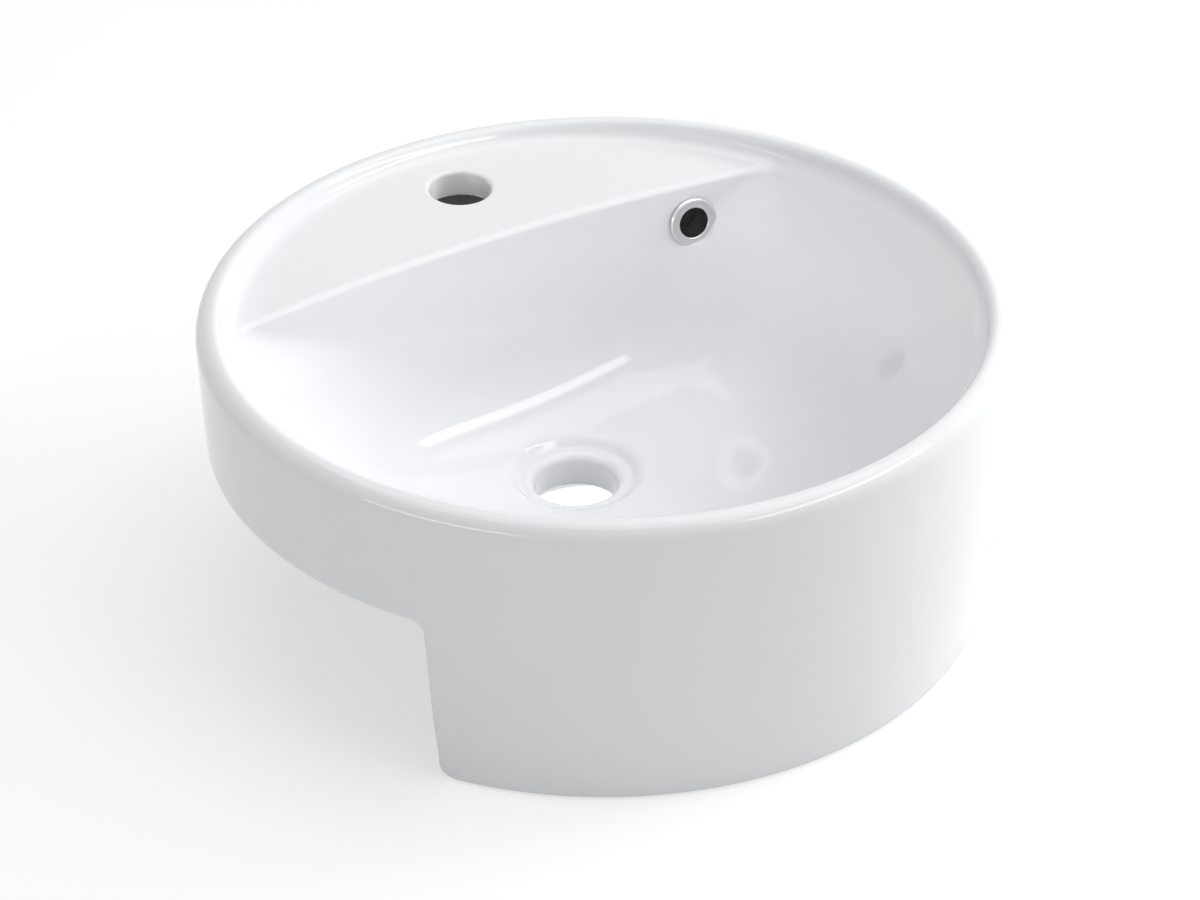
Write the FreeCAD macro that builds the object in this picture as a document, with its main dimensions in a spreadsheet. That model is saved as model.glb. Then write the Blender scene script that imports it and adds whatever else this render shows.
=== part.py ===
"""Semi recessed basin: a round vitreous china bowl whose front apron hangs over the worktop's edge.

Frame: millimetres, +Z up, +Y to the tap side, origin on the rim circle's axis in the plane of the foot.
Drops are measured down from the top of the rim, setbacks from the axis of the rim.
"""
import FreeCAD, Part
import os

import Sketcher

SIZES = (
    ("overall_dia", 430.0),
    ("overall_height", 168.0),
    ("foot_dia", 416.0),
    ("wall_bulge", 1.4),
    ("ceramic_wall", 10.0),
    ("rim_width", 13.2),
    ("rim_outer_round", 9.2),
    ("rim_inner_round", 3.6),
    ("shoulder_round", 5.0),
    ("skirt_height", 70.0),
    ("apron_setback", 115.0),
    ("notch_round", 7.0),
    ("apron_heel_round", 8.0),
    ("edge_round", 3.0),
    ("ledge_drop", 14.0),
    ("ledge_front", 92.0),
    ("ledge_slope", 3.2),
    ("ledge_thickness", 12.0),
    ("back_wall_setback", 108.5),
    ("back_wall_arc", 1130.0),
    ("back_wall_lean", 8.0),
    ("mouth_round", 3.0),
    ("valley_round", 18.0),
    ("mouth_shelf", 1.8),
    ("bowl_side_angle", 53.5),
    ("bowl_floor_angle", 4.6),
    ("bowl_floor_drop", 129.0),
    ("bowl_blend", 16.6),
    ("waste_setback", 31.0),
    ("recess_dia", 73.0),
    ("recess_drop", 126.5),
    ("recess_round", 6.0),
    ("groove_dia", 63.6),
    ("groove_drop", 131.0),
    ("waste_bore_dia", 46.0),
    ("waste_lip_round", 5.5),
    ("outlet_drop", 152.0),
    ("outlet_dia", 76.0),
    ("tap_hole_dia", 35.0),
    ("tap_setback", 163.0),
    ("tap_offset", 6.0),
    ("tap_lip_round", 2.0),
    ("overflow_offset", 121.0),
    ("overflow_drop", 36.5),
    ("overflow_hole_dia", 24.0),
    ("foot_setback", 80.0),
    ("foot_length", 100.0),
    ("foot_width", 12.0),
    ("chamber_dia", 44.0),
    ("chamber_depth", 20.0),
    ("duct_dia", 19.0),
    ("duct_wall", 3.7),
    ("duct_rise", 0.2),
    ("port_angle", 60.0),
    ("port_setback", 34.0),
    ("ring_dia", 29.4),
    ("ring_bead_dia", 3.0),
    ("ring_hole_dia", 17.8),
    ("ring_rise", 2.6),
    ("spigot_dia", 20.6),
    ("spigot_length", 13.0),
    ("sleeve_length", 8.0),
    ("sleeve_rib_width", 2.0),
    ("sleeve_rib_height", 0.9),
)

# Each bowl section is a level circle. Its size, as a share of the mouth, also sets how far it has
# moved from the axis of the rim towards the axis of the waste.
BOWL_SHARES = (1.02, 0.94, 0.86, 0.78, 0.70, 0.62, 0.54, 0.46, 0.38, 0.30, 0.22, 0.16)

# How far cutting shapes run past the faces they cut, in millimetres.
CLEAR = 5.0

LEDGE_LEVEL = "(sizes.overall_height - sizes.ledge_drop)"
SKIRT_LEVEL = "(sizes.overall_height - sizes.skirt_height)"
GROOVE_LEVEL = "(sizes.overall_height - sizes.groove_drop)"
OUTLET_LEVEL = "(sizes.overall_height - sizes.outlet_drop)"
WELL_RADIUS = "(sizes.overall_dia / 2 - sizes.rim_width)"
MOUTH_RADIUS = f"({WELL_RADIUS} - sizes.shoulder_round - sizes.mouth_shelf)"
RIM_RADIUS = "(sizes.overall_dia / 2)"
FOOT_RADIUS = "(sizes.foot_dia / 2)"
BORE_RADIUS = "(sizes.waste_bore_dia / 2)"

# The back wall is part of a leaning cone; the overflow sits on it, square to its surface.
WALL_CENTRE = "(sizes.back_wall_setback - sizes.back_wall_arc)"
WALL_REACH = (
    "(sizes.back_wall_arc - (sizes.overflow_drop - sizes.ledge_drop) * tan(sizes.back_wall_lean))"
)
OVERFLOW_LEVEL = "(sizes.overall_height - sizes.overflow_drop)"
OVERFLOW_TURN = f"asin(sizes.overflow_offset / {WALL_REACH})"
OVERFLOW_Y = f"({WALL_CENTRE} + {WALL_REACH} * cos({OVERFLOW_TURN}))"
OVERFLOW_ROLL = "(90 - sizes.back_wall_lean)"

# Unit direction from the overflow into the bowl.
OUT_X = f"(-sin({OVERFLOW_TURN}) * cos(sizes.back_wall_lean))"
OUT_Y = f"(-cos({OVERFLOW_TURN}) * cos(sizes.back_wall_lean))"
OUT_Z = "sin(sizes.back_wall_lean)"

# The duct runs down behind the back wall, then level to the outlet boss.
DUCT_RADIUS = "(sizes.duct_dia / 2)"
DUCT_BORE = "(sizes.duct_dia / 2 - sizes.duct_wall)"
DUCT_LEVEL = f"({OUTLET_LEVEL} + sizes.duct_rise + {DUCT_RADIUS})"
DUCT_BACK = "(sizes.ceramic_wall + sizes.chamber_depth / 2)"
DROP_X = f"(sizes.overflow_offset - {DUCT_BACK} * {OUT_X})"
DROP_Y = f"({OVERFLOW_Y} - {DUCT_BACK} * {OUT_Y})"
DROP_Z = f"({OVERFLOW_LEVEL} - {DUCT_BACK} * {OUT_Z})"
DROP_LENGTH = f"(({DROP_Z} - {DUCT_LEVEL}) / cos(sizes.back_wall_lean))"
ELBOW_X = f"({DROP_X} - {DROP_LENGTH} * sin(sizes.back_wall_lean) * sin({OVERFLOW_TURN}))"
ELBOW_Y = f"({DROP_Y} - {DROP_LENGTH} * sin(sizes.back_wall_lean) * cos({OVERFLOW_TURN}))"
PORT_X = "(sizes.port_setback * cos(sizes.port_angle))"
PORT_Y = "(sizes.waste_setback - sizes.port_setback * sin(sizes.port_angle))"
RUN_LENGTH = f"sqrt(({ELBOW_X} - {PORT_X})^2 + ({ELBOW_Y} - {PORT_Y})^2)"
RUN_YAW = f"atan2({PORT_Y} - {ELBOW_Y}; {PORT_X} - {ELBOW_X})"

doc = FreeCAD.newDocument("semi_recessed_basin")


def size_sheet():
    sheet = doc.addObject("Spreadsheet::Sheet", "sizes")
    for row, (name, number) in enumerate(SIZES, start=1):
        sheet.set(f"A{row}", name)
        sheet.set(f"B{row}", str(number))
        sheet.setAlias(f"B{row}", name)
    doc.recompute()
    return sheet


sizes = size_sheet()


def value(expression):
    """Value of an expression over the sheet, as a plain number."""
    result = sizes.evalExpression(expression.replace("sizes.", ""))
    return float(getattr(result, "Value", result))


def primitive(kind, name, **lengths):
    item = doc.addObject(kind, name)
    for prop, expression in lengths.items():
        item.setExpression(prop, f"({expression}) * 1mm")
    return item


def place(item, x="0", y="0", z="0"):
    for axis, expression in zip("xyz", (x, y, z)):
        item.setExpression(f"Placement.Base.{axis}", f"({expression}) * 1mm")
    return item


def turn(item, where, yaw="0", pitch="0", roll="0"):
    """Put an item at a point, rolled about X, pitched about Y, then yawed about Z."""
    x, y, z = where
    item.setExpression(
        "Placement",
        f"create(<<placement>>; create(<<vector>>; {x}; {y}; {z});"
        f" create(<<rotation>>; {yaw}; {pitch}; {roll}))",
    )
    return item


def joined(kind, name, parts):
    item = doc.addObject(kind, name)
    item.Shapes = list(parts)
    item.Refine = True
    return item


def fuse(name, *parts):
    return joined("Part::MultiFuse", name, parts)


def common(name, *parts):
    return joined("Part::MultiCommon", name, parts)


def cut(name, base, tool):
    item = doc.addObject("Part::Cut", name)
    item.Base = base
    item.Tool = tool
    item.Refine = True
    return item


def rounded(name, base, picks):
    """Round the edges of a shape; picks pairs the name of a radius with a test for its edges."""
    doc.recompute()
    item = doc.addObject("Part::Fillet", name)
    item.Base = base
    chosen = []
    for size_name, accepts in picks:
        radius = value(size_name)
        for number, edge in enumerate(base.Shape.Edges, start=1):
            if accepts(base.Shape, edge):
                chosen.append((number, radius, radius))
    item.Edges = chosen
    return item


def surfaces_at(shape, edge):
    faces = shape.ancestorsOfType(edge, Part.Face)
    return {face.Surface.TypeId.replace("Part::Geom", "") for face in faces}


def middle_of(edge):
    return edge.valueAt((edge.FirstParameter + edge.LastParameter) / 2)


def draw_outline(sketch, corners):
    """Closed outline through (across, up) corners; a third entry is the radius of the arc ending there.

    Arcs bow to the right hand of the direction of travel, so an outline drawn anticlockwise bulges.
    """
    spots = [FreeCAD.Vector(value(corner[0]), value(corner[1]), 0) for corner in corners]
    ends = []
    for number, corner in enumerate(corners):
        start = spots[number - 1]
        end = spots[number]
        ends.append((1, 2))
        if len(corner) == 2:
            sketch.addGeometry(Part.LineSegment(start, end), False)
            continue
        radius = value(corner[2])
        chord = end - start
        reach = (radius ** 2 - (chord.Length / 2) ** 2) ** 0.5
        inward = FreeCAD.Vector(-chord.y, chord.x, 0).normalize()
        crown = (start + end) * 0.5 + inward * (reach - radius)
        sketch.addGeometry(Part.Arc(start, crown, end), False)
        if sketch.Geometry[number].StartPoint.distanceToPoint(start) > 1e-6:
            ends[number] = (2, 1)
    for number, corner in enumerate(corners):
        before = number - 1 if number else len(corners) - 1
        sketch.addConstraint(
            Sketcher.Constraint("Coincident", before, ends[before][1], number, ends[number][0])
        )
        if len(corner) == 3:
            bind(sketch, Sketcher.Constraint("Radius", number, value(corner[2])), corner[2])
        pin(sketch, number, ends[number][1], corner)


def bind(sketch, constraint, expression):
    index = sketch.addConstraint(constraint)
    sketch.setExpression(f"Constraints[{index}]", f"({expression}) * 1mm")


def pin(sketch, line, end, corner):
    """Hold one end of a line at a corner of the outline."""
    for kind, axis, expression in (("DistanceX", -2, corner[0]), ("DistanceY", -1, corner[1])):
        if expression == "0":
            sketch.addConstraint(Sketcher.Constraint("PointOnObject", line, end, axis))
        else:
            distance = Sketcher.Constraint(kind, -1, 1, line, end, value(expression))
            bind(sketch, distance, expression)


def revolved(name, corners):
    """Body turned about its own Z from a closed outline of (radius, level) corners."""
    body = doc.addObject("PartDesign::Body", name)
    sketch = body.newObject("Sketcher::SketchObject", f"{name}_outline")
    sketch.AttachmentSupport = [(body.Origin.OriginFeatures[4], "")]
    sketch.MapMode = "FlatFace"
    draw_outline(sketch, corners)
    feature = body.newObject("PartDesign::Revolution", f"{name}_turned")
    feature.Profile = sketch
    feature.ReferenceAxis = (sketch, ["V_Axis"])
    feature.Angle = 360
    return body


def bowl_sections(name, wall):
    """Solid through the level circles of the bowl, grown outwards by a wall thickness."""
    mouth = f"({MOUTH_RADIUS} + ({wall}) / sin(sizes.bowl_side_angle))"
    rings = []
    for number, share in enumerate(BOWL_SHARES, start=1):
        radius = f"({mouth} * {share})"
        shrink = f"{1 - share:.2f}"
        side = f"(-sizes.ledge_drop - tan(sizes.bowl_side_angle) * {mouth} * {shrink})"
        floor = (
            f"(-sizes.bowl_floor_drop - ({wall})"
            f" + tan(sizes.bowl_floor_angle) * ({radius} - sizes.recess_dia / 2))"
        )
        level = (
            f"sizes.overall_height + ({side} + {floor}) / 2"
            f" + sqrt(({side} - {floor})^2 / 4 + sizes.bowl_blend^2)"
        )
        ring = primitive("Part::Circle", f"{name}_ring_{number}", Radius=radius)
        rings.append(place(ring, y=f"sizes.waste_setback * {shrink}", z=level))
    loft = doc.addObject("Part::Loft", f"{name}_loft")
    loft.Sections = rings
    loft.Solid = True
    return loft


def room_before_back_wall(name, wall):
    """Cone that fills everything in front of the back wall, moved back by a wall thickness."""
    reach = f"(sizes.back_wall_arc + ({wall}) / cos(sizes.back_wall_lean))"
    cone = primitive(
        "Part::Cone",
        f"{name}_room",
        Radius1=f"{reach} - ({LEDGE_LEVEL} + {CLEAR}) * tan(sizes.back_wall_lean)",
        Radius2=f"{reach} + (sizes.ledge_drop + {CLEAR}) * tan(sizes.back_wall_lean)",
        Height=f"sizes.overall_height + {2 * CLEAR}",
    )
    return place(cone, y=WALL_CENTRE, z=f"-{CLEAR}")


def deep_bowl(name, wall):
    """Bowl up to the back wall, with the valley between them rounded."""

    def valley(shape, edge):
        return surfaces_at(shape, edge) == {"BSplineSurface", "Cone"}

    sharp = common(f"{name}_sharp", bowl_sections(name, wall), room_before_back_wall(name, wall))
    doc.recompute()
    item = doc.addObject("Part::Fillet", name)
    item.Base = sharp
    radius = value(f"sizes.valley_round + ({wall})")
    edges = enumerate(sharp.Shape.Edges, start=1)
    item.Edges = [(number, radius, radius) for number, edge in edges if valley(sharp.Shape, edge)]
    return item


def rim_well():
    """Shallow room inside the rim: level in front, rising to the rear behind the bowl."""
    level_floor = primitive(
        "Part::Box",
        "level_floor",
        Length="sizes.overall_dia * 2",
        Width="sizes.overall_dia * 2",
        Height=LEDGE_LEVEL,
    )
    place(level_floor, x="-sizes.overall_dia", y="-sizes.overall_dia")
    rising_floor = primitive(
        "Part::Box",
        "rising_floor",
        Length="sizes.overall_dia * 2",
        Width="sizes.overall_dia",
        Height="sizes.overall_height",
    )
    corner = (
        "-sizes.overall_dia",
        "sizes.ledge_front + sizes.overall_height * sin(sizes.ledge_slope)",
        f"{LEDGE_LEVEL} - sizes.overall_height * cos(sizes.ledge_slope)",
    )
    turn(rising_floor, corner, roll="sizes.ledge_slope")
    shaft = primitive(
        "Part::Cylinder",
        "well_shaft",
        Radius=WELL_RADIUS,
        Height=f"sizes.ledge_drop + {2 * CLEAR}",
    )
    place(shaft, z=f"{LEDGE_LEVEL} - {CLEAR}")
    sharp = cut("well_sharp", shaft, fuse("well_floor", level_floor, rising_floor))

    def foot_of_well(shape, edge):
        below_top = edge.BoundBox.ZMax < value("sizes.overall_height")
        return below_top and surfaces_at(shape, edge) == {"Cylinder", "Plane"}

    return rounded("rim_well", sharp, [("sizes.shoulder_round", foot_of_well)])


def dry_cavity():
    """Bowl and rim well together, with the mouth of the bowl rounded."""

    def mouth(shape, edge):
        middle = middle_of(edge)
        reach = value(f"{MOUTH_RADIUS} + sizes.mouth_shelf / 2")
        kinds = surfaces_at(shape, edge)
        on_ledge = "Plane" in kinds and len(kinds) == 2 and middle.z > value(LEDGE_LEVEL) - 1
        return on_ledge and (middle.x ** 2 + middle.y ** 2) ** 0.5 < reach

    sharp = fuse("cavity_sharp", deep_bowl("bowl_space", "0"), rim_well())
    return rounded("cavity", sharp, [("sizes.mouth_round", mouth)])


def waste_space():
    """Stepped recess and bore of the waste hole, with the lip into the bore rounded."""
    flare = "((sizes.recess_dia - sizes.groove_dia) / 2)"
    recess = primitive(
        "Part::Cone",
        "waste_recess",
        Radius1="sizes.groove_dia / 2",
        Radius2=f"sizes.recess_dia / 2 + {flare}",
        Height="2 * (sizes.groove_drop - sizes.recess_drop)",
    )
    place(recess, y="sizes.waste_setback", z=GROOVE_LEVEL)
    bore = primitive(
        "Part::Cylinder",
        "waste_bore",
        Radius=BORE_RADIUS,
        Height=f"sizes.outlet_drop - sizes.groove_drop + {2 * CLEAR}",
    )
    place(bore, y="sizes.waste_setback", z=f"{OUTLET_LEVEL} - {CLEAR}")
    sharp = fuse("waste_sharp", recess, bore)

    def lip(shape, edge):
        above_outlet = edge.BoundBox.ZMin > value(OUTLET_LEVEL)
        return above_outlet and surfaces_at(shape, edge) == {"Cylinder", "Plane"}

    return rounded("waste_space", sharp, [("sizes.waste_lip_round", lip)])


def wet_cavity():
    """Everything the water can reach from above, with the edge of the waste recess rounded."""

    def recess_edge(shape, edge):
        near_waste = edge.BoundBox.YMax < value("sizes.waste_setback + sizes.recess_dia")
        low = edge.BoundBox.ZMax < value(SKIRT_LEVEL)
        return near_waste and low and surfaces_at(shape, edge) == {"Cone", "BSplineSurface"}

    sharp = fuse("wet_sharp", dry_cavity(), waste_space())
    return rounded("wet_cavity", sharp, [("sizes.recess_round", recess_edge)])


def outer_form():
    """Outside of the casting: a turned drum, notched from below so that only the apron reaches down."""
    rise = "(sizes.overall_height - sizes.rim_outer_round)"
    chord = f"({rise}^2 + ({RIM_RADIUS} - {FOOT_RADIUS})^2)"
    bend = f"({chord} / (8 * sizes.wall_bulge) + sizes.wall_bulge / 2)"
    corners = (
        ("0", "0"),
        (FOOT_RADIUS, "0"),
        (RIM_RADIUS, rise, bend),
        (f"({RIM_RADIUS} - sizes.rim_outer_round)", "sizes.overall_height", "sizes.rim_outer_round"),
        ("0", "sizes.overall_height"),
    )
    drum = revolved("drum", corners)
    block = primitive(
        "Part::Box",
        "notch_block",
        Length="sizes.overall_dia * 2",
        Width="sizes.overall_dia",
        Height=f"{SKIRT_LEVEL} + {CLEAR}",
    )
    place(block, x="-sizes.overall_dia", y="-sizes.apron_setback", z=f"-{CLEAR}")

    def across(edge):
        return edge.BoundBox.YLength < 1e-3 and edge.BoundBox.ZLength < 1e-3

    def notch_corner(shape, edge):
        at_apron = edge.BoundBox.YMax < value("-sizes.apron_setback") + 1
        return across(edge) and at_apron and edge.BoundBox.ZMin > 0

    def heel(shape, edge):
        at_apron = abs(edge.BoundBox.YMax - value("-sizes.apron_setback")) < 1e-3
        return across(edge) and at_apron and edge.BoundBox.ZMax < 1e-3

    def outer_edge(shape, edge):
        return len(surfaces_at(shape, edge)) == 2 and below_rim(edge) and on_drum(shape, edge)

    def below_rim(edge):
        return edge.BoundBox.ZMax < value("sizes.overall_height - sizes.rim_outer_round") - 1

    def on_drum(shape, edge):
        return "SurfaceOfRevolution" in surfaces_at(shape, edge)

    notch = rounded("notch", block, [("sizes.notch_round", notch_corner)])
    sharp = cut("outer_sharp", drum, notch)
    picks = [("sizes.apron_heel_round", heel), ("sizes.edge_round", outer_edge)]
    return rounded("outer_form", sharp, picks)


def hollow():
    """Room left inside the outer wall and under the ledge."""
    drop = f"({LEDGE_LEVEL} - sizes.ledge_thickness)"
    cone = primitive(
        "Part::Cone",
        "hollow",
        Radius1=f"{FOOT_RADIUS} - sizes.ceramic_wall",
        Radius2=f"{RIM_RADIUS} - sizes.ceramic_wall",
        Height=f"{drop} + {CLEAR}",
    )
    return place(cone, z=f"-{CLEAR}")


def under_structure(outside):
    """What stands inside the hollow: the bowl's own wall, the apron's back, the outlet and the foot."""
    shell = deep_bowl("bowl_shell", "sizes.ceramic_wall")
    slab = primitive(
        "Part::Box",
        "apron_back_slab",
        Length="sizes.overall_dia * 2",
        Width="sizes.ceramic_wall",
        Height=LEDGE_LEVEL,
    )
    place(slab, x="-sizes.overall_dia", y="-sizes.apron_setback - sizes.ceramic_wall")
    apron_back = common("apron_back", slab, outside)
    boss = primitive(
        "Part::Cylinder",
        "outlet_boss",
        Radius="sizes.outlet_dia / 2",
        Height="sizes.outlet_drop - sizes.bowl_floor_drop",
    )
    place(boss, y="sizes.waste_setback", z=OUTLET_LEVEL)
    foot = primitive(
        "Part::Box",
        "foot_bar",
        Length="sizes.foot_length",
        Width="sizes.foot_width",
        Height="sizes.overall_height - sizes.bowl_floor_drop",
    )
    place(foot, x="-sizes.foot_length / 2", y="sizes.foot_setback")
    return (shell, apron_back, boss, foot)


def tap_hole():
    bore = primitive(
        "Part::Cylinder",
        "tap_hole",
        Radius="sizes.tap_hole_dia / 2",
        Height="sizes.overall_height",
    )
    return place(bore, x="sizes.tap_offset", y="sizes.tap_setback", z=SKIRT_LEVEL)


def overflow_hole():
    """Hole through the back wall, square to it."""
    bore = primitive(
        "Part::Cylinder",
        "overflow_hole",
        Radius="sizes.overflow_hole_dia / 2",
        Height=f"sizes.ceramic_wall + {3 * CLEAR}",
    )
    depth = f"(sizes.ceramic_wall + {2 * CLEAR})"
    start = (
        f"sizes.overflow_offset - {depth} * {OUT_X}",
        f"{OVERFLOW_Y} - {depth} * {OUT_Y}",
        f"{OVERFLOW_LEVEL} - {depth} * {OUT_Z}",
    )
    return turn(bore, start, yaw=f"-{OVERFLOW_TURN}", roll=OVERFLOW_ROLL)


def outlet_ports():
    """Channel inside the outlet boss that lets the duct into the waste bore."""
    channel = primitive(
        "Part::Cylinder",
        "port_channel",
        Radius=DUCT_BORE,
        Height="sizes.outlet_dia / 2",
    )
    back_x = f"{PORT_X} - sizes.outlet_dia / 2 * cos({RUN_YAW})"
    back_y = f"{PORT_Y} - sizes.outlet_dia / 2 * sin({RUN_YAW})"
    turn(channel, (back_x, back_y, DUCT_LEVEL), yaw=RUN_YAW, pitch="90")
    corner = primitive("Part::Sphere", "port_corner", Radius=DUCT_BORE)
    place(corner, x=PORT_X, y=PORT_Y, z=DUCT_LEVEL)
    slot = primitive(
        "Part::Cylinder",
        "port_slot",
        Radius=DUCT_BORE,
        Height="sizes.port_setback",
    )
    turn(slot, (PORT_X, PORT_Y, DUCT_LEVEL), yaw="180 - sizes.port_angle", pitch="90")
    return (channel, corner, slot)


def ledge_block():
    """Everything above the underside of the ledge."""
    block = primitive(
        "Part::Cylinder",
        "ledge_block",
        Radius=RIM_RADIUS,
        Height="sizes.ledge_drop + sizes.ledge_thickness",
    )
    return place(block, z=f"{LEDGE_LEVEL} - sizes.ledge_thickness")


def casting():
    """The one-piece ceramic casting, and the parts of it that the duct lies against."""
    outside = outer_form()
    wall = cut("outer_wall", outside, hollow())
    shell, apron_back, boss, foot = under_structure(outside)
    solid = fuse("casting_solid", wall, shell, apron_back, boss, foot)
    tools = fuse("casting_space", wet_cavity(), tap_hole(), overflow_hole(), *outlet_ports())
    sharp = cut("casting_sharp", solid, tools)

    def rim_inside(shape, edge):
        at_top = edge.BoundBox.ZMin > value("sizes.overall_height") - 1e-3
        reach = value(WELL_RADIUS) + 1
        return at_top and edge.BoundBox.XMax < reach and edge.BoundBox.YMax < reach

    def tap_lip(shape, edge):
        high = edge.BoundBox.ZMin > value(LEDGE_LEVEL) - 1
        near = abs(edge.BoundBox.Center.y - value("sizes.tap_setback")) < 1
        return high and near and surfaces_at(shape, edge) == {"Cylinder", "Plane"}

    picks = [("sizes.rim_inner_round", rim_inside), ("sizes.tap_lip_round", tap_lip)]
    return rounded("basin_body", sharp, picks), fuse("duct_bed", shell, boss, ledge_block())


def duct_run(name, radius):
    """Down pipe behind the back wall, level pipe to the boss and the round corners between them."""
    down = primitive("Part::Cylinder", f"{name}_down", Radius=radius, Height=DROP_LENGTH)
    turn(down, (DROP_X, DROP_Y, DROP_Z), yaw=f"-{OVERFLOW_TURN}", roll=f"90 + {OVERFLOW_ROLL}")
    elbow = primitive("Part::Sphere", f"{name}_elbow", Radius=radius)
    place(elbow, x=ELBOW_X, y=ELBOW_Y, z=DUCT_LEVEL)
    level = primitive("Part::Cylinder", f"{name}_level", Radius=radius, Height=RUN_LENGTH)
    turn(level, (ELBOW_X, ELBOW_Y, DUCT_LEVEL), yaw=RUN_YAW, pitch="90")
    end = primitive("Part::Sphere", f"{name}_end", Radius=radius)
    place(end, x=PORT_X, y=PORT_Y, z=DUCT_LEVEL)
    return (down, elbow, level, end)


def chamber(name, radius, depth):
    """Round box behind the overflow hole, as deep as given behind the rear of the back wall."""
    can = primitive("Part::Cylinder", name, Radius=radius, Height=f"{depth} + {CLEAR}")
    back = f"(sizes.ceramic_wall + {depth})"
    start = (
        f"sizes.overflow_offset - {back} * {OUT_X}",
        f"{OVERFLOW_Y} - {back} * {OUT_Y}",
        f"{OVERFLOW_LEVEL} - {back} * {OUT_Z}",
    )
    return turn(can, start, yaw=f"-{OVERFLOW_TURN}", roll=OVERFLOW_ROLL)


def overflow_duct(bed):
    """Ceramic strip that leads the overflow to the outlet, cut to lie against the casting."""
    outer_can = chamber("duct_chamber", "sizes.chamber_dia / 2", "sizes.chamber_depth")
    inner_can = chamber(
        "duct_chamber_room",
        "sizes.chamber_dia / 2 - sizes.duct_wall",
        "sizes.chamber_depth - sizes.duct_wall",
    )
    outer = fuse("duct_outer", outer_can, *duct_run("duct", DUCT_RADIUS))
    room = fuse("duct_room", inner_can, *duct_run("duct_way", DUCT_BORE))
    tube = cut("duct_tube", outer, room)
    return cut("overflow_duct", tube, bed)


def seat_on_wall(body):
    """Stand a turned piece on the back wall at the overflow, its axis square to the wall."""
    where = ("sizes.overflow_offset", OVERFLOW_Y, OVERFLOW_LEVEL)
    return turn(body, where, yaw=f"-{OVERFLOW_TURN}", roll=OVERFLOW_ROLL)


def trim_ring():
    """Chrome overflow ring: beaded flange on the wall with a spigot that reaches into the hole."""
    seat = f"(sizes.ring_dia^2 / 8 / {WALL_REACH})"
    rim = "(sizes.ring_dia / 2)"
    bead = "(sizes.ring_bead_dia / 2)"
    hole = "(sizes.ring_hole_dia / 2)"
    throat = "(sizes.spigot_dia / 2 - 1)"
    corners = (
        ("(sizes.spigot_dia / 2)", "(-sizes.spigot_length)"),
        ("(sizes.spigot_dia / 2)", seat),
        (f"({rim} - {bead})", seat),
        (rim, f"({seat} + {bead})", bead),
        (f"({rim} - {bead})", f"({seat} + 2 * {bead})", bead),
        (f"({rim} - 2 * {bead})", f"({seat} + 1.7 * {bead})"),
        (f"({hole} + 1.2)", f"({seat} + sizes.ring_rise - 0.9)"),
        (hole, f"({seat} + sizes.ring_rise - 1.5)", "1.4"),
        (hole, f"({seat} - 1)"),
        (throat, "(-sizes.spigot_length)"),
    )
    return seat_on_wall(revolved("overflow_trim_ring", corners))


def ring_sleeve():
    """Soft ribbed sleeve that grips the ring's spigot inside the overflow hole."""
    inner = "(sizes.spigot_dia / 2)"
    crest = "(sizes.overflow_hole_dia / 2)"
    root = f"({crest} - sizes.sleeve_rib_height)"
    far = "(-1 - sizes.sleeve_length)"
    first = "(-1 - sizes.sleeve_rib_width)"
    middle_near = "(-1 - sizes.sleeve_length / 2 + sizes.sleeve_rib_width / 2)"
    middle_far = "(-1 - sizes.sleeve_length / 2 - sizes.sleeve_rib_width / 2)"
    last = "(-1 - sizes.sleeve_length + sizes.sleeve_rib_width)"
    corners = (
        (inner, far),
        (crest, far),
        (crest, last),
        (root, last),
        (root, middle_far),
        (crest, middle_far),
        (crest, middle_near),
        (root, middle_near),
        (root, first),
        (crest, first),
        (crest, "(-1)"),
        (inner, "(-1)"),
    )
    return seat_on_wall(revolved("overflow_ring_sleeve", corners))


def check_document():
    doc.recompute()
    for item in doc.Objects:
        if "Invalid" in item.State or "Error" in item.State:
            raise RuntimeError(f"{item.Name} did not build: {item.State}")


def export(item):
    shape = item.Shape
    if shape.isNull() or not shape.isValid():
        raise RuntimeError(f"{item.Label} has no valid shape")
    if len(shape.Solids) != 1:
        raise RuntimeError(f"{item.Label} has {len(shape.Solids)} solids")
    shape.exportStep(f"parts/{item.Label}.step")
    box = shape.BoundBox
    extent = f"{box.XLength:.1f} x {box.YLength:.1f} x {box.ZLength:.1f}"
    print(f"{item.Label}: {shape.Volume / 1000:.1f} cm3, {extent} mm")


os.makedirs("parts", exist_ok=True)
body, duct_bed = casting()
pieces = (body, overflow_duct(duct_bed), trim_ring(), ring_sleeve())
check_document()
for piece in pieces:
    export(piece)
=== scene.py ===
"""Visual model and studio of a round semi recessed wash basin.

The casting is one smooth mesh laid over a formula of its glazed and unglazed surfaces; its unglazed clay is
greyed as painted shade.
The overflow's ring and sleeve are turned sections. The duct keeps its CAD mesh, in the same greyed clay of
painted shade.
Sizes of the object are in millimetres and become metres when a mesh is made.
"""
import logging
import math
from dataclasses import dataclass, field
from enum import Enum

import bmesh
import bpy
import numpy as np
from mathutils import Matrix, Vector


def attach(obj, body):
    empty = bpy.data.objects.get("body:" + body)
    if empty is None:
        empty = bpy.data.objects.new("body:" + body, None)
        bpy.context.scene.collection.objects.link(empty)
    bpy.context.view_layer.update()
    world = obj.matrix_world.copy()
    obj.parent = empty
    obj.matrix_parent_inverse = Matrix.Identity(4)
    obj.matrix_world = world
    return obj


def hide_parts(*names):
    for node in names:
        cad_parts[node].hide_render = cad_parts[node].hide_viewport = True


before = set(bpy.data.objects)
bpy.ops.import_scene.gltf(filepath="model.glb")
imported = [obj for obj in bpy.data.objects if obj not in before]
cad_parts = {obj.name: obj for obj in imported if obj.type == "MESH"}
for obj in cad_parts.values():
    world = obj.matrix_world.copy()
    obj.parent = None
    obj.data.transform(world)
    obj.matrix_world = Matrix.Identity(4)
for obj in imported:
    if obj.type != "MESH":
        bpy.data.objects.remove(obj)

LOG = logging.getLogger("basin")
MM = 0.001
BODY = "root"
Color = tuple[float, float, float]
Field = np.ndarray
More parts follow.
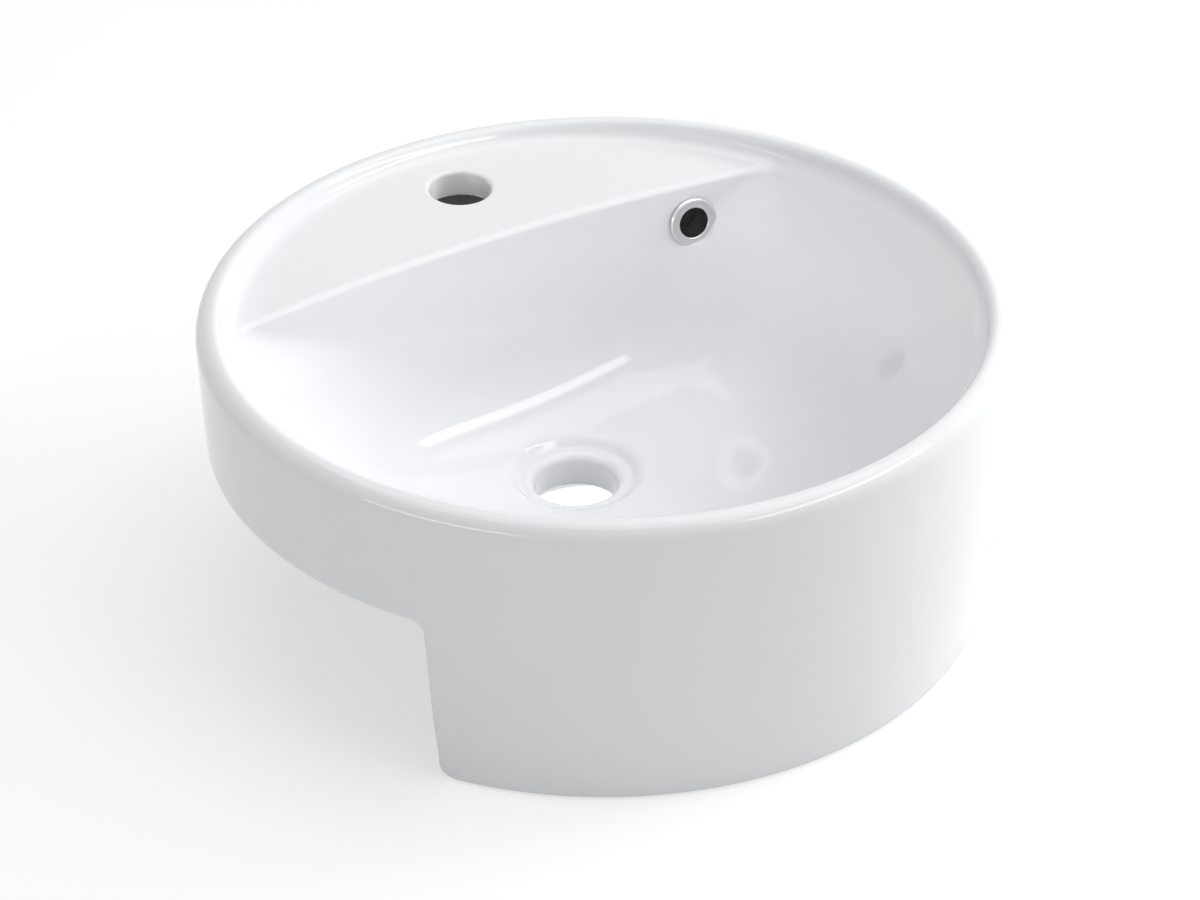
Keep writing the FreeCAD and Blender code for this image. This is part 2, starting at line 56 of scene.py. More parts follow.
Runs = tuple[tuple[float, float], ...]
Section = list[tuple[float, float]]


def union(a: Field, b: Field, radius: float) -> Field:
    """Join two solids and fill the inner corner between them with a fillet.

    Args:
        a: Signed distance of the first solid, negative inside.
        b: Signed distance of the second solid.
        radius: Radius of the fillet.

    Returns:
        Signed distance of the joined solid.
    """
    return -overlap(-a, -b, radius)


def overlap(a: Field, b: Field, radius: float) -> Field:
    """Keep what two solids share and round the outer edge between them.

    Args:
        a: Signed distance of the first solid, negative inside.
        b: Signed distance of the second solid.
        radius: Radius of the rounded edge.

    Returns:
        Signed distance of the shared solid.
    """
    inside = np.minimum(-radius, np.maximum(a, b))
    return inside + np.hypot(np.maximum(a + radius, 0), np.maximum(b + radius, 0))


def stops(first: float, *runs: tuple[float, float]) -> np.ndarray:
    """Places along a grid axis, closer together where the form is finer.

    Args:
        first: First place.
        runs: End of each run and the spacing within it.

    Returns:
        All places in rising order.
    """
    places = [first]
    for end, spacing in runs:
        count = max(1, round((end - places[-1]) / spacing))
        places.extend(np.linspace(places[-1], end, count + 1)[1:])
    return np.array(places)


@dataclass(frozen=True)
class CastingSizes:
    """Sizes of the basin's china casting, in millimetres and degrees."""

    height: float = 168.0
    rim_radius: float = 214.93
    foot_radius: float = 208.0
    wall_bulge: float = 1.4
    wall: float = 10.0
    rim_width: float = 13.2
    rim_outer_round: float = 9.2
    rim_inner_round: float = 4.0
    rim_draft: float = 4.0
    shoulder_round: float = 8.0
    skirt_level: float = 98.0
    apron_back: float = -115.0
    notch_round: float = 6.0
    heel_round: float = 8.0
    edge_round: float = 3.0
    inner_round: float = 2.0
    root_round: float = 5.0
    roof_round: float = 3.0
    sole_round: float = 1.0
    shell_drop: float = 2.0
    ledge_drop: float = 14.0
    ledge_front: float = 92.0
    ledge_slope: float = 3.2
    ledge_bend: float = 14.0
    ledge_thickness: float = 12.0
    back_wall_front: float = 108.5
    back_wall_arc: float = 1130.0
    back_wall_lean: float = 8.0
    crest_round: float = 3.4
    valley_rounds: tuple[float, float] = (8.0, 33.0)
    valley_levels: tuple[float, float] = (155.0, 116.0)
    mouth_radius: float = 199.0
    side_angle: float = 52.0
    floor_angle: float = 4.6
    floor_drop: float = 129.0
    bowl_blend: float = 16.6
    waste_y: float = 31.0
    recess_radius: float = 36.5
    recess_drop: float = 126.5
    recess_round: float = 1.8
    groove_radius: float = 31.8
    groove_drop: float = 131.0
    groove_round: float = 0.6
    waste_radius: float = 23.0
    waste_lip: float = 5.5
    outlet_drop: float = 152.0
    outlet_radius: float = 38.0
    tap_x: float = 6.0
    tap_y: float = 163.0
    tap_radius: float = 17.5
    tap_lip: float = 2.0
    overflow_x: float = 121.0
    overflow_drop: float = 36.5
    overflow_radius: float = 12.0
    foot_bar_y: float = 86.0
    foot_bar_half: tuple[float, float] = (50.0, 6.0)
    foot_bar_top: float = 56.0


@dataclass(frozen=True)
class NetSpacing:
    """Grid that the casting's surface is laid over, in millimetres and degrees.

    A run is the place where it ends and the spacing up to there.
    """

    turn: float = 2.15
    turn_at_holes: float = 0.75
    turn_at_edges: float = 0.6
    turn_at_tips: float = 1.2
    edge_turns: float = 3.0
    tip_turns: float = 14.0
    overflow_turns: tuple[float, float] = (32.4, 46.6)
    tap_turns: tuple[float, float] = (79.0, 97.0)
    hub: float = 40.0
    core: float = 20.0
    out_runs: Runs = ((42, 1.3), (75, 3.4), (118, 2.8), (160, 1.6), (193, 2.9), (219, 1.5))
    under: float = -2.0
    up_runs: Runs = ((6, 1.5), (14, 4), (45, 1.7), (90, 5.0), (103, 2.1), (115, 4.2), (147, 2.6), (171, 1.45))


class CastingForm:
    """Formula of the casting: negative in the china, positive in the air."""

    def __init__(self, sizes: CastingSizes) -> None:
        """Work out the slopes and centres that several surfaces share."""
        self.s = sizes
        s = sizes
        self.ledge_level = s.height - s.ledge_drop
        self.side_rise = math.tan(math.radians(s.side_angle))
        self.floor_rise = math.tan(math.radians(s.floor_angle))
        self.lean = math.radians(s.back_wall_lean)
        self.arc_y = s.back_wall_front - s.back_wall_arc
        drop = s.overflow_drop - s.ledge_drop
        reach = s.back_wall_arc - drop * math.tan(self.lean)
        turn = math.asin(s.overflow_x / reach)
        self.overflow_at = Vector(
            (s.overflow_x, self.arc_y + reach * math.cos(turn), s.height - s.overflow_drop)
        )
        self.overflow_axis = Vector(
            (
                -math.sin(turn) * math.cos(self.lean),
                -math.cos(turn) * math.cos(self.lean),
                math.sin(self.lean),
            )
        )
        self.overflow_turn = turn

    def bowl(self, x: Field, y: Field, z: Field, wall: float) -> Field:
        """Space above the bowl's surface, or above its underside.

        Args:
            x: Places across.
            y: Places from front to back.
            z: Heights.
            wall: Depth below the glazed surface.

        Returns:
            Rough signed distance, negative above the surface.
        """
        s = self.s
        mouth = s.mouth_radius + wall / math.sin(math.radians(s.side_angle))
        reach = np.maximum(np.hypot(x, y - s.waste_y), 1e-6)
        towards = s.waste_y * (y - s.waste_y) / reach
        edge = -towards + np.sqrt(towards**2 + mouth**2 - s.waste_y**2)
        radius = reach / edge * mouth
        side = -s.ledge_drop - self.side_rise * (mouth - radius)
        floor = -s.floor_drop - wall + self.floor_rise * (radius - s.recess_radius)
        half = (side - floor) / 2
        root = np.hypot(half, s.bowl_blend)
        level = s.height + (side + floor) / 2 + root
        rise = (self.side_rise + self.floor_rise) / 2
        rise = rise + half / root * (self.side_rise - self.floor_rise) / 2
        return (level - z) / np.hypot(1, rise * mouth / edge)

    def back_wall(self, x: Field, y: Field, z: Field) -> Field:
        """Space in front of the curved, leaning back wall."""
        s = self.s
        lean = math.tan(self.lean)
        radius = s.back_wall_arc + (z - self.ledge_level) * lean
        return (np.hypot(x, y - self.arc_y) - radius) * math.cos(self.lean)

    def valley_radius(self, z: Field) -> Field:
        """Radius of the valley at the back wall: tight at the ledge and soft at the floor."""
        tight, soft = self.s.valley_rounds
        top, low = self.s.valley_levels
        share = np.clip((top - z) / (top - low), 0, 1)
        return tight + (soft - tight) * share * share * (3 - 2 * share)

    def waste(self, x: Field, y: Field, z: Field) -> Field:
        """Recess, groove and bore of the waste hole."""
        s = self.s
        radius = np.hypot(x, y - s.waste_y)
        groove = s.height - s.groove_drop
        widening = (s.recess_radius - s.groove_radius) / (s.groove_drop - s.recess_drop)
        cone = (radius - s.groove_radius - (z - groove) * widening) * math.sqrt(0.5)
        recess = overlap(cone, groove - z, s.groove_round)
        return union(recess, radius - s.waste_radius, s.waste_lip)

    def well(self, x: Field, y: Field, z: Field) -> Field:
        """Open space inside the rim and above the ledge."""
        s = self.s
        past = y - s.ledge_front
        rise = math.tan(math.radians(s.ledge_slope)) / 2
        level = self.ledge_level + rise * (past + np.hypot(past, s.ledge_bend))
        return level - z

    def wet_air(self, x: Field, y: Field, z: Field) -> Field:
        """All the space that the glaze faces from above."""
        s = self.s
        low = union(self.bowl(x, y, z, 0.0), self.waste(x, y, z), s.recess_round)
        low = overlap(low, self.back_wall(x, y, z), self.valley_radius(z))
        air = union(low, self.well(x, y, z), s.crest_round)
        draft = math.tan(math.radians(s.rim_draft))
        inside = s.rim_radius - s.rim_width + (z - s.height) * draft
        air = overlap(air, np.hypot(x, y) - inside, s.shoulder_round)
        tap = np.hypot(x - s.tap_x, y - s.tap_y) - s.tap_radius
        below_ledge = self.ledge_level - 3 * s.ledge_thickness
        tap = np.maximum(tap, below_ledge - z)
        return union(air, tap, s.tap_lip)

    def outside(self, x: Field, y: Field, z: Field) -> Field:
        """Outer form: tapered drum with its skirt cut away behind the apron."""
        s = self.s
        rim_foot = s.height - s.rim_outer_round
        below_foot = 1.2
        share = np.clip((rim_foot - z) / rim_foot, 0, below_foot)
        radius = s.rim_radius + (s.foot_radius - s.rim_radius) * share
        radius = radius + 4 * s.wall_bulge * share * (1 - share)
        drum = overlap(z - s.height, np.hypot(x, y) - radius, s.rim_outer_round)
        notch = overlap(s.apron_back - y, z - s.skirt_level, s.notch_round)
        foot = overlap(-notch, -z, s.heel_round)
        return overlap(drum, foot, s.edge_round)

    def skirt(self, x: Field, y: Field, z: Field) -> Field:
        """Rim, ledge, outer wall and apron: the outer form less the hollow inside it."""
        s = self.s
        roof = self.ledge_level - s.ledge_thickness
        inner = s.foot_radius - s.wall + (s.rim_radius - s.foot_radius) * z / roof
        hollow = overlap(z - roof, np.hypot(x, y) - inner, s.roof_round)
        slab = np.abs(y - s.apron_back + s.wall / 2) - s.wall / 2
        hollow = overlap(hollow, -slab, s.root_round)
        return overlap(self.outside(x, y, z), -hollow, s.inner_round / 2)

    def bowl_shell(self, x: Field, y: Field, z: Field) -> Field:
        """Wall of the bowl and its back wall, which hang inside the skirt."""
        s = self.s
        corner = self.valley_radius(z) + s.wall
        shell = overlap(self.bowl(x, y, z, s.wall), self.back_wall(x, y, z) - s.wall, corner)
        inside = np.hypot(x, y) - s.rim_radius + s.wall
        return np.maximum(shell, np.maximum(inside, z - self.ledge_level + s.shell_drop))

    def supports(self, x: Field, y: Field, z: Field) -> Field:
        """Outlet boss below the waste hole and foot bar behind it."""
        s = self.s
        radius = np.hypot(x, y - s.waste_y)
        floor = s.height - s.floor_drop
        boss = overlap(radius - s.outlet_radius, s.height - s.outlet_drop - z, s.inner_round)
        boss = np.maximum(boss, z - floor)
        half_x, half_y = s.foot_bar_half
        bar = overlap(np.abs(x) - half_x, np.abs(y - s.foot_bar_y) - half_y, s.inner_round)
        bar = overlap(bar, -z, s.sole_round)
        return union(boss, np.maximum(bar, z - s.foot_bar_top), s.inner_round)

    def overflow_hole(self, x: Field, y: Field, z: Field) -> Field:
        """Round hole through the back wall, square to it."""
        s = self.s
        at, axis = self.overflow_at, self.overflow_axis
        dx, dy, dz = x - at.x, y - at.y, z - at.z
        along = dx * axis.x + dy * axis.y + dz * axis.z
        off = np.sqrt(np.maximum(dx**2 + dy**2 + dz**2 - along**2, 0))
        half_length = 2.5 * s.wall
        return np.maximum(off - s.overflow_radius, np.abs(along) - half_length)

    def china(self, points: np.ndarray) -> Field:
        """Signed distance of the whole casting.

        Args:
            points: Places as rows of x, y and z.

        Returns:
            One value for each place, negative in the china.
        """
        x, y, z = points[..., 0], points[..., 1], points[..., 2]
        body = union(self.skirt(x, y, z), self.bowl_shell(x, y, z), self.s.inner_round)
        body = union(body, self.supports(x, y, z), self.s.root_round)
        body = overlap(body, -self.wet_air(x, y, z), self.s.rim_inner_round)
        return overlap(body, -self.overflow_hole(x, y, z), self.s.inner_round)

    def uphill(self, points: np.ndarray, step: float = 0.02) -> np.ndarray:
        """Gradient of the signed distance, which points out of the china."""
        slope = np.empty_like(points)
        for axis in range(3):
            shift = np.zeros(3)
            shift[axis] = step
            slope[..., axis] = self.china(points + shift) - self.china(points - shift)
        return slope / (2 * step)

    def settle(
        self, points: np.ndarray, rounds: int = 4, longest: float = 1.2, flattest: float = 0.05
    ) -> np.ndarray:
        """Move points onto the surface.

        Args:
            points: Places near the surface.
            rounds: Number of steps taken.
            longest: Longest single step.
            flattest: Least squared gradient that a step is worked out from.

        Returns:
            The same points on the surface.
        """
        for _ in range(rounds):
            slope = self.uphill(points)
            steep = np.maximum((slope**2).sum(axis=1), flattest)
            move = (self.china(points) / steep)[:, None] * slope
            length = np.linalg.norm(move, axis=1, keepdims=True)
            points = points - move * np.minimum(1, longest / np.maximum(length, 1e-9))
        return points


class SurfaceNet:
    """Quad mesh of a formula's zero surface over a grid that turns round the basin."""

    def __init__(self, form: CastingForm, spacing: NetSpacing) -> None:
        """Lay out the grid: rings round the waste at the core, round the rim outside."""
        self.form = form
        s = form.s
        self.centre_y = s.waste_y
        self.crown = s.rim_radius - s.rim_outer_round
        self.hub = spacing.hub
        self.out = stops(spacing.core, *spacing.out_runs)
        wide, close, fine = spacing.turn, spacing.turn_at_holes, spacing.turn_at_edges
        apron = math.degrees(math.asin(s.apron_back / s.rim_radius))
        edge, tip = spacing.edge_turns, spacing.tip_turns
        runs = [(apron - tip, wide), (apron - edge, spacing.turn_at_tips), (apron + edge, fine)]
        for first, last in (spacing.overflow_turns, spacing.tap_turns):
            runs += [(first, wide), (last, close)]
        runs += [(180 - apron - edge, wide), (180 - apron + edge, fine)]
        runs += [(180 - apron + tip, spacing.turn_at_tips)]
        self.turns = np.radians(stops(-90, *runs, (270, wide)))
        self.up = stops(spacing.under, *spacing.up_runs)

    def place(self, out: np.ndarray, turn: np.ndarray, up: np.ndarray) -> np.ndarray:
        """Real places of grid places.

        Args:
            out: Distance from the grid's axis.
            turn: Angle about the axis, in radians.
            up: Height.

        Returns:
            Places as rows of x, y and z.
        """
        share = np.clip((out - self.hub) / (self.crown - self.hub), 0, 1)
        centre = self.centre_y * (1 - share**2) ** 2
        return np.stack([out * np.cos(turn), centre + out * np.sin(turn), up], axis=-1)

    def mesh(self) -> tuple[np.ndarray, np.ndarray]:
        """Find the surface's points and the quads between them.

        Returns:
            Points on the surface and quads as rows of four point numbers.
        """
        axes = (self.out, self.turns, self.up)
        grid = np.meshgrid(*axes, indexing="ij")
        value = self.form.china(self.place(*grid))
        value[:, -1] = value[:, 0]
        solid = value < 0
        cells = tuple(n - 1 for n in value.shape)
        total = np.zeros(cells + (3,))
        count = np.zeros(cells)
        crossed = []
        for axis in range(3):
            low = tuple(slice(None, -1) if a == axis else slice(None) for a in range(3))
            high = tuple(slice(1, None) if a == axis else slice(None) for a in range(3))
            changes = solid[low] != solid[high]
            gap = np.where(changes, value[low] - value[high], 1)
            share = np.where(changes, value[low] / gap, 0)
            where = [g[low] for g in grid]
            where[axis] = where[axis] + share * (grid[axis][high] - grid[axis][low])
            sides = [a for a in range(3) if a != axis]
            for one in (0, 1):
                for two in (0, 1):
                    pick = [slice(None)] * 3
                    pick[sides[0]] = slice(one, one + cells[sides[0]])
                    pick[sides[1]] = slice(two, two + cells[sides[1]])
                    hit = changes[tuple(pick)]
                    count += hit
                    for a in range(3):
                        total[..., a] += np.where(hit, where[a][tuple(pick)], 0)
            crossed.append(changes)
        used = count > 0
        number = np.full(cells, -1)
        number[used] = np.arange(used.sum())
        middle = total[used] / count[used][:, None]
        points = self.place(middle[:, 0], middle[:, 1], middle[:, 2])
        quads = [self.facing(crossed[axis], solid, number, axis) for axis in range(3)]
        return self.form.settle(points), np.concatenate(quads)

    def facing(self, changes: np.ndarray, solid: np.ndarray, number: np.ndarray, axis: int) -> np.ndarray:
        """Quads across the grid edges of one axis where the china starts or ends.

        Args:
            changes: True at each edge that the surface crosses.
            solid: True at each grid place in the china.
            number: Point number of each cell.
            axis: Axis of the edges.

        Returns:
            Quads that face out of the china.
        """
        around = 1
        turns = number.shape[around]
        if axis != around:
            changes = changes[:, :-1]
        one, two = (axis + 1) % 3, (axis + 2) % 3
        at = np.array(np.nonzero(changes))
        for side in (one, two):
            if side != around:
                keep = (at[side] > 0) & (at[side] < number.shape[side])
                at = at[:, keep]
        corners = []
        for back_one, back_two in ((1, 1), (0, 1), (0, 0), (1, 0)):
            cell = at.copy()
            cell[one] -= back_one
            cell[two] -= back_two
            cell[around] %= turns
            corners.append(number[tuple(cell)])
        quads = np.stack(corners, axis=1)
        leaving = solid[tuple(at)]
        return np.where(leaving[:, None], quads, quads[:, ::-1])


@dataclass(frozen=True)
class RingSizes:
    """Sizes of the overflow's chrome ring and its sleeve, in millimetres."""

    radius: float = 14.7
    bead: float = 1.5
    hole: float = 8.9
    rise: float = 2.6
    dish: float = 2.58
    lip: float = 0.75
    spigot: float = 10.3
    spigot_length: float = 13.0
    throat: float = 9.3
    sleeve_start: float = 1.0
    sleeve_length: float = 8.0
    sleeve_radius: float = 12.0
    rib_width: float = 2.0
    rib_height: float = 0.9
    rib_lead: float = 0.3
    sectors: int = 96
    sharp_angle: float = 35.0


class Mark(Enum):
    """Marks on the casting's points that its material reads."""

    # Bare clay, which the material greys as painted shade.
    BARE_CLAY_AND_SHADE = "bare_clay_and_shade"
    THIN_GLAZE = "thin_glaze"


@dataclass(frozen=True)
class Finish:
    """Look of one material, with the spread of its colour and gloss."""

    name: str
    color: Color
    worn_color: Color
    rough: tuple[float, float]
    grain_size: float
    ripple: float
    metallic: float = 0.0
    ior: float = 1.5


GLAZE = Finish(
    name="glazed_china",
    color=(0.895, 0.91, 0.932),
    worn_color=(0.87, 0.88, 0.894),
    rough=(0.05, 0.1),
    grain_size=0.018,
    ripple=0.00003,
)
# Bare clay, greyed far below the body's real off-white as painted shade: it stands for the shaded hollow
# under the ledge and the dark duct behind the overflow.
BISQUE_PAINTED_SHADE = Finish(
    name="clay_with_painted_shade",
    color=(0.3, 0.297, 0.287),
    worn_color=(0.24, 0.236, 0.227),
    rough=(0.62, 0.85),
    grain_size=0.0012,
    ripple=0.00006,
)
CHROME = Finish(
    name="ring_chrome",
    color=(0.76, 0.76, 0.77),
    worn_color=(0.66, 0.66, 0.67),
    rough=(0.18, 0.3),
    grain_size=0.002,
    ripple=0.000004,
    metallic=1.0,
)
RUBBER = Finish(
    name="sleeve_rubber",
    color=(0.09, 0.09, 0.095),
    worn_color=(0.14, 0.14, 0.14),
    rough=(0.5, 0.75),
    grain_size=0.0008,
    ripple=0.00003,
)
# Width of the mottling in grains, and the range that its noise is spread over.
MOTTLE_GRAINS = 12
NOISE_STRETCH = (-0.5, 1.5)
# How far thin glaze goes towards its worn colour, and the specks in it, in metres and as shares.
THIN_SHARE = 0.25
SPECK_SPACING = 0.045
SPECK_SIZE = 0.006
SPECK_SHARE = 0.3
# Floor paper as a light, and as it shows in the shade of the basin.
PAPER = (0.86, 0.86, 0.86)
SHADED_PAPER = (0.5, 0.5, 0.5)


class NodeTree:
    """Small helper that adds and joins nodes of one tree."""

    def __init__(self, tree: bpy.types.NodeTree) -> None:
        """Keep the tree."""
        self.tree = tree

    def add(self, kind: str, **settings: object) -> bpy.types.Node:
        """Add a node.

        Args:
            kind: Blender's name of the node.
            settings: Properties of the node.

        Returns:
            The new node.
        """
        node = self.tree.nodes.new(kind)
        for name, value in settings.items():
            setattr(node, name, value)
        return node

    def join(self, source: bpy.types.NodeSocket, target: bpy.types.NodeSocket) -> None:
        """Link an output to an input."""
        self.tree.links.new(source, target)

    def math(self, operation: str, *values: object) -> bpy.types.NodeSocket:
        """Add a math node fed by sockets or plain numbers.

        Args:
            operation: Name of the operation.
            values: Sockets or numbers, in the node's order.

        Returns:
            The result's socket.
        """
        node = self.add("ShaderNodeMath", operation=operation)
        for number, value in enumerate(values):
            self.feed(value, node.inputs[number])
        return node.outputs[0]

    def feed(self, value: object, socket: bpy.types.NodeSocket) -> None:
        """Link a socket or set a plain value on an input."""
        if isinstance(value, bpy.types.NodeSocket):
            self.join(value, socket)
        else:
            socket.default_value = value

    def blend(self, share: object, first: object, second: object) -> bpy.types.NodeSocket:
        """Mix two colours.

        Args:
            share: Share of the second colour.
            first: First colour or socket.
            second: Second colour or socket.

        Returns:
            The mixed colour's socket.
        """
        node = self.add("ShaderNodeMix", data_type="RGBA")
        self.feed(share, node.inputs[0])
        self.feed(first, node.inputs[6])
        self.feed(second, node.inputs[7])
        return node.outputs[2]

    def showing(self) -> bpy.types.NodeSocket:
        """One for rays that show the backdrop: to the eye, in mirrors and through glass."""
        path = self.add("ShaderNodeLightPath").outputs
        seen = self.math("MAXIMUM", path["Is Camera Ray"], path["Is Transmission Ray"])
        return self.math("MAXIMUM", seen, path["Is Glossy Ray"])

    def span(self, value: object, low: float, high: float) -> bpy.types.NodeSocket:
        """Spread a share from nought to one over a range.

        Args:
            value: Socket of the share.
            low: Result at nought.
            high: Result at one.

        Returns:
            The result's socket.
        """
        node = self.add("ShaderNodeMapRange", clamp=True)
        self.feed(value, node.inputs["Value"])
        node.inputs["To Min"].default_value = low
        node.inputs["To Max"].default_value = high
        return node.outputs["Result"]


def rgba(color: Color) -> tuple[float, float, float, float]:
    """Colour with full alpha."""
    return (*color, 1.0)


def grain_group() -> bpy.types.ShaderNodeTree:
    """Shader group for grain: mottling, fine grain and a height, from noise in the piece's space.

    Returns:
        Group with inputs Vector, Grain Size and Mottle Size, and outputs Mottle, Fine and Height.
    """
    tree = bpy.data.node_groups.new("surface_grain", "ShaderNodeTree")
    face = tree.interface
    face.new_socket("Vector", in_out="INPUT", socket_type="NodeSocketVector")
    size = face.new_socket("Grain Size", in_out="INPUT", socket_type="NodeSocketFloat")
    size.default_value = 0.002
    mottle = face.new_socket("Mottle Size", in_out="INPUT", socket_type="NodeSocketFloat")
    mottle.default_value = 0.03
    for name in ("Mottle", "Fine", "Height"):
        face.new_socket(name, in_out="OUTPUT", socket_type="NodeSocketFloat")
    nodes = NodeTree(tree)
    entry = nodes.add("NodeGroupInput")
    leave = nodes.add("NodeGroupOutput")
    layers = (("Mottle", "Mottle Size", 3.0), ("Fine", "Grain Size", 5.0), ("Height", "Grain Size", 1.0))
    for name, source, detail in layers:
        noise = nodes.add("ShaderNodeTexNoise")
        nodes.join(entry.outputs["Vector"], noise.inputs["Vector"])
        nodes.join(nodes.math("DIVIDE", 1.0, entry.outputs[source]), noise.inputs["Scale"])
        noise.inputs["Detail"].default_value = detail
        nodes.join(noise.outputs[0], leave.inputs[name])
    return tree


def speck_group() -> bpy.types.ShaderNodeTree:
    """Shader group for scattered specks and pin holes.

    Returns:
        Group with inputs Vector, Spacing and Size, and output Specks.
    """
    tree = bpy.data.node_groups.new("scattered_specks", "ShaderNodeTree")
    face = tree.interface
    face.new_socket("Vector", in_out="INPUT", socket_type="NodeSocketVector")
    for name, value in (("Spacing", 0.01), ("Size", 0.03)):
        face.new_socket(name, in_out="INPUT", socket_type="NodeSocketFloat").default_value = value
    face.new_socket("Specks", in_out="OUTPUT", socket_type="NodeSocketFloat")
    nodes = NodeTree(tree)
    entry = nodes.add("NodeGroupInput")
    leave = nodes.add("NodeGroupOutput")
    cells = nodes.add("ShaderNodeTexVoronoi", feature="F1")
    nodes.join(entry.outputs["Vector"], cells.inputs["Vector"])
    nodes.join(nodes.math("DIVIDE", 1.0, entry.outputs["Spacing"]), cells.inputs["Scale"])
    near = nodes.math("LESS_THAN", cells.outputs["Distance"], entry.outputs["Size"])
    nodes.join(near, leave.inputs["Specks"])
    return tree


class Workshop:
    """Makes the materials, with the shader groups that they share."""

    def __init__(self) -> None:
        """Build the shared groups once."""
        self.grain = grain_group()
        self.specks = speck_group()

    def start(self, finish: Finish) -> tuple[bpy.types.Material, NodeTree, bpy.types.Node]:
        """Start a material with its shader.

        Args:
            finish: Look of the material.

        Returns:
            The material, its nodes and its shader.
        """
        material = bpy.data.materials.new(finish.name)
        material.use_nodes = True
        nodes = NodeTree(material.node_tree)
        shader = material.node_tree.nodes["Principled BSDF"]
        shader.inputs["Metallic"].default_value = finish.metallic
        shader.inputs["IOR"].default_value = finish.ior
        return material, nodes, shader

    def textured(self, nodes: NodeTree, finish: Finish, where: bpy.types.NodeSocket) -> tuple:
        """Colour, roughness and height of a finish.

        Args:
            nodes: Nodes of the material.
            finish: Look of the material.
            where: Socket of the place on the piece.

        Returns:
            Sockets of the colour, roughness and height.
        """
        grain = nodes.add("ShaderNodeGroup", node_tree=self.grain)
        nodes.join(where, grain.inputs["Vector"])
        grain.inputs["Grain Size"].default_value = finish.grain_size
        grain.inputs["Mottle Size"].default_value = MOTTLE_GRAINS * finish.grain_size
        share = nodes.span(grain.outputs["Mottle"], *NOISE_STRETCH)
        color = nodes.blend(share, rgba(finish.color), rgba(finish.worn_color))
        rough = nodes.span(grain.outputs["Fine"], *finish.rough)
        return color, rough, grain.outputs["Height"]

    def bump(self, nodes: NodeTree, height: object, depth: float) -> bpy.types.NodeSocket:
        """Normal of a height.

        Args:
            nodes: Nodes of the material.
            height: Socket of the height, from nought to one.
            depth: Real depth in metres.

        Returns:
            Socket of the normal.
        """
        bump = nodes.add("ShaderNodeBump")
        bump.inputs["Distance"].default_value = depth
        nodes.join(height, bump.inputs["Height"])
        return bump.outputs["Normal"]

    def plain(self, finish: Finish) -> bpy.types.Material:
        """Material with one finish all over.

        Args:
            finish: Look of the material.

        Returns:
            The material.
        """
        material, nodes, shader = self.start(finish)
        where = nodes.add("ShaderNodeTexCoord").outputs["Object"]
        color, rough, height = self.textured(nodes, finish, where)
        nodes.join(color, shader.inputs["Base Color"])
        nodes.join(rough, shader.inputs["Roughness"])
        nodes.join(self.bump(nodes, height, finish.ripple), shader.inputs["Normal"])
        return material

    def china(self, glaze: Finish, clay_with_painted_shade: Finish) -> bpy.types.Material:
        """Glazed china with thin glaze, and bare clay greyed as painted shade, where the casting's marks say.

        Args:
            glaze: Look of the glaze.
            clay_with_painted_shade: Look of the bare clay.

        Returns:
            The material.
        """
        material, nodes, shader = self.start(glaze)
        where = nodes.add("ShaderNodeTexCoord").outputs["Object"]
        bare = nodes.add("ShaderNodeAttribute", attribute_name=Mark.BARE_CLAY_AND_SHADE.value).outputs["Fac"]
        thin = nodes.add("ShaderNodeAttribute", attribute_name=Mark.THIN_GLAZE.value).outputs["Fac"]
        color, rough, height = self.textured(nodes, glaze, where)
        clay_shade_color, clay_rough, clay_height = self.textured(nodes, clay_with_painted_shade, where)
        color = nodes.blend(nodes.math("MULTIPLY", thin, THIN_SHARE), color, rgba(glaze.worn_color))
        specks = nodes.add("ShaderNodeGroup", node_tree=self.specks)
        nodes.join(where, specks.inputs["Vector"])
        specks.inputs["Spacing"].default_value = SPECK_SPACING
        specks.inputs["Size"].default_value = SPECK_SIZE
        specked = nodes.math("MULTIPLY", specks.outputs["Specks"], SPECK_SHARE)
        color = nodes.blend(specked, color, rgba(clay_with_painted_shade.worn_color))
        # Where the mask is one, the greyed clay colour paints the shade of the hollow and the undersides.
        nodes.join(nodes.blend(bare, color, clay_shade_color), shader.inputs["Base Color"])
        mixed = nodes.add("ShaderNodeMix", data_type="FLOAT")
        nodes.join(bare, mixed.inputs[0])
        nodes.join(rough, mixed.inputs[2])
        nodes.join(clay_rough, mixed.inputs[3])
        nodes.join(mixed.outputs[0], shader.inputs["Roughness"])
        deep = nodes.math("MULTIPLY", clay_height, bare)
        deep = nodes.math("MULTIPLY", deep, clay_with_painted_shade.ripple / glaze.ripple)
        height = nodes.math("ADD", height, deep)
        nodes.join(self.bump(nodes, height, glaze.ripple), shader.inputs["Normal"])
        return material


def link(item: bpy.types.Object) -> bpy.types.Object:
    """Put an object in the scene."""
    bpy.context.scene.collection.objects.link(item)
    return item


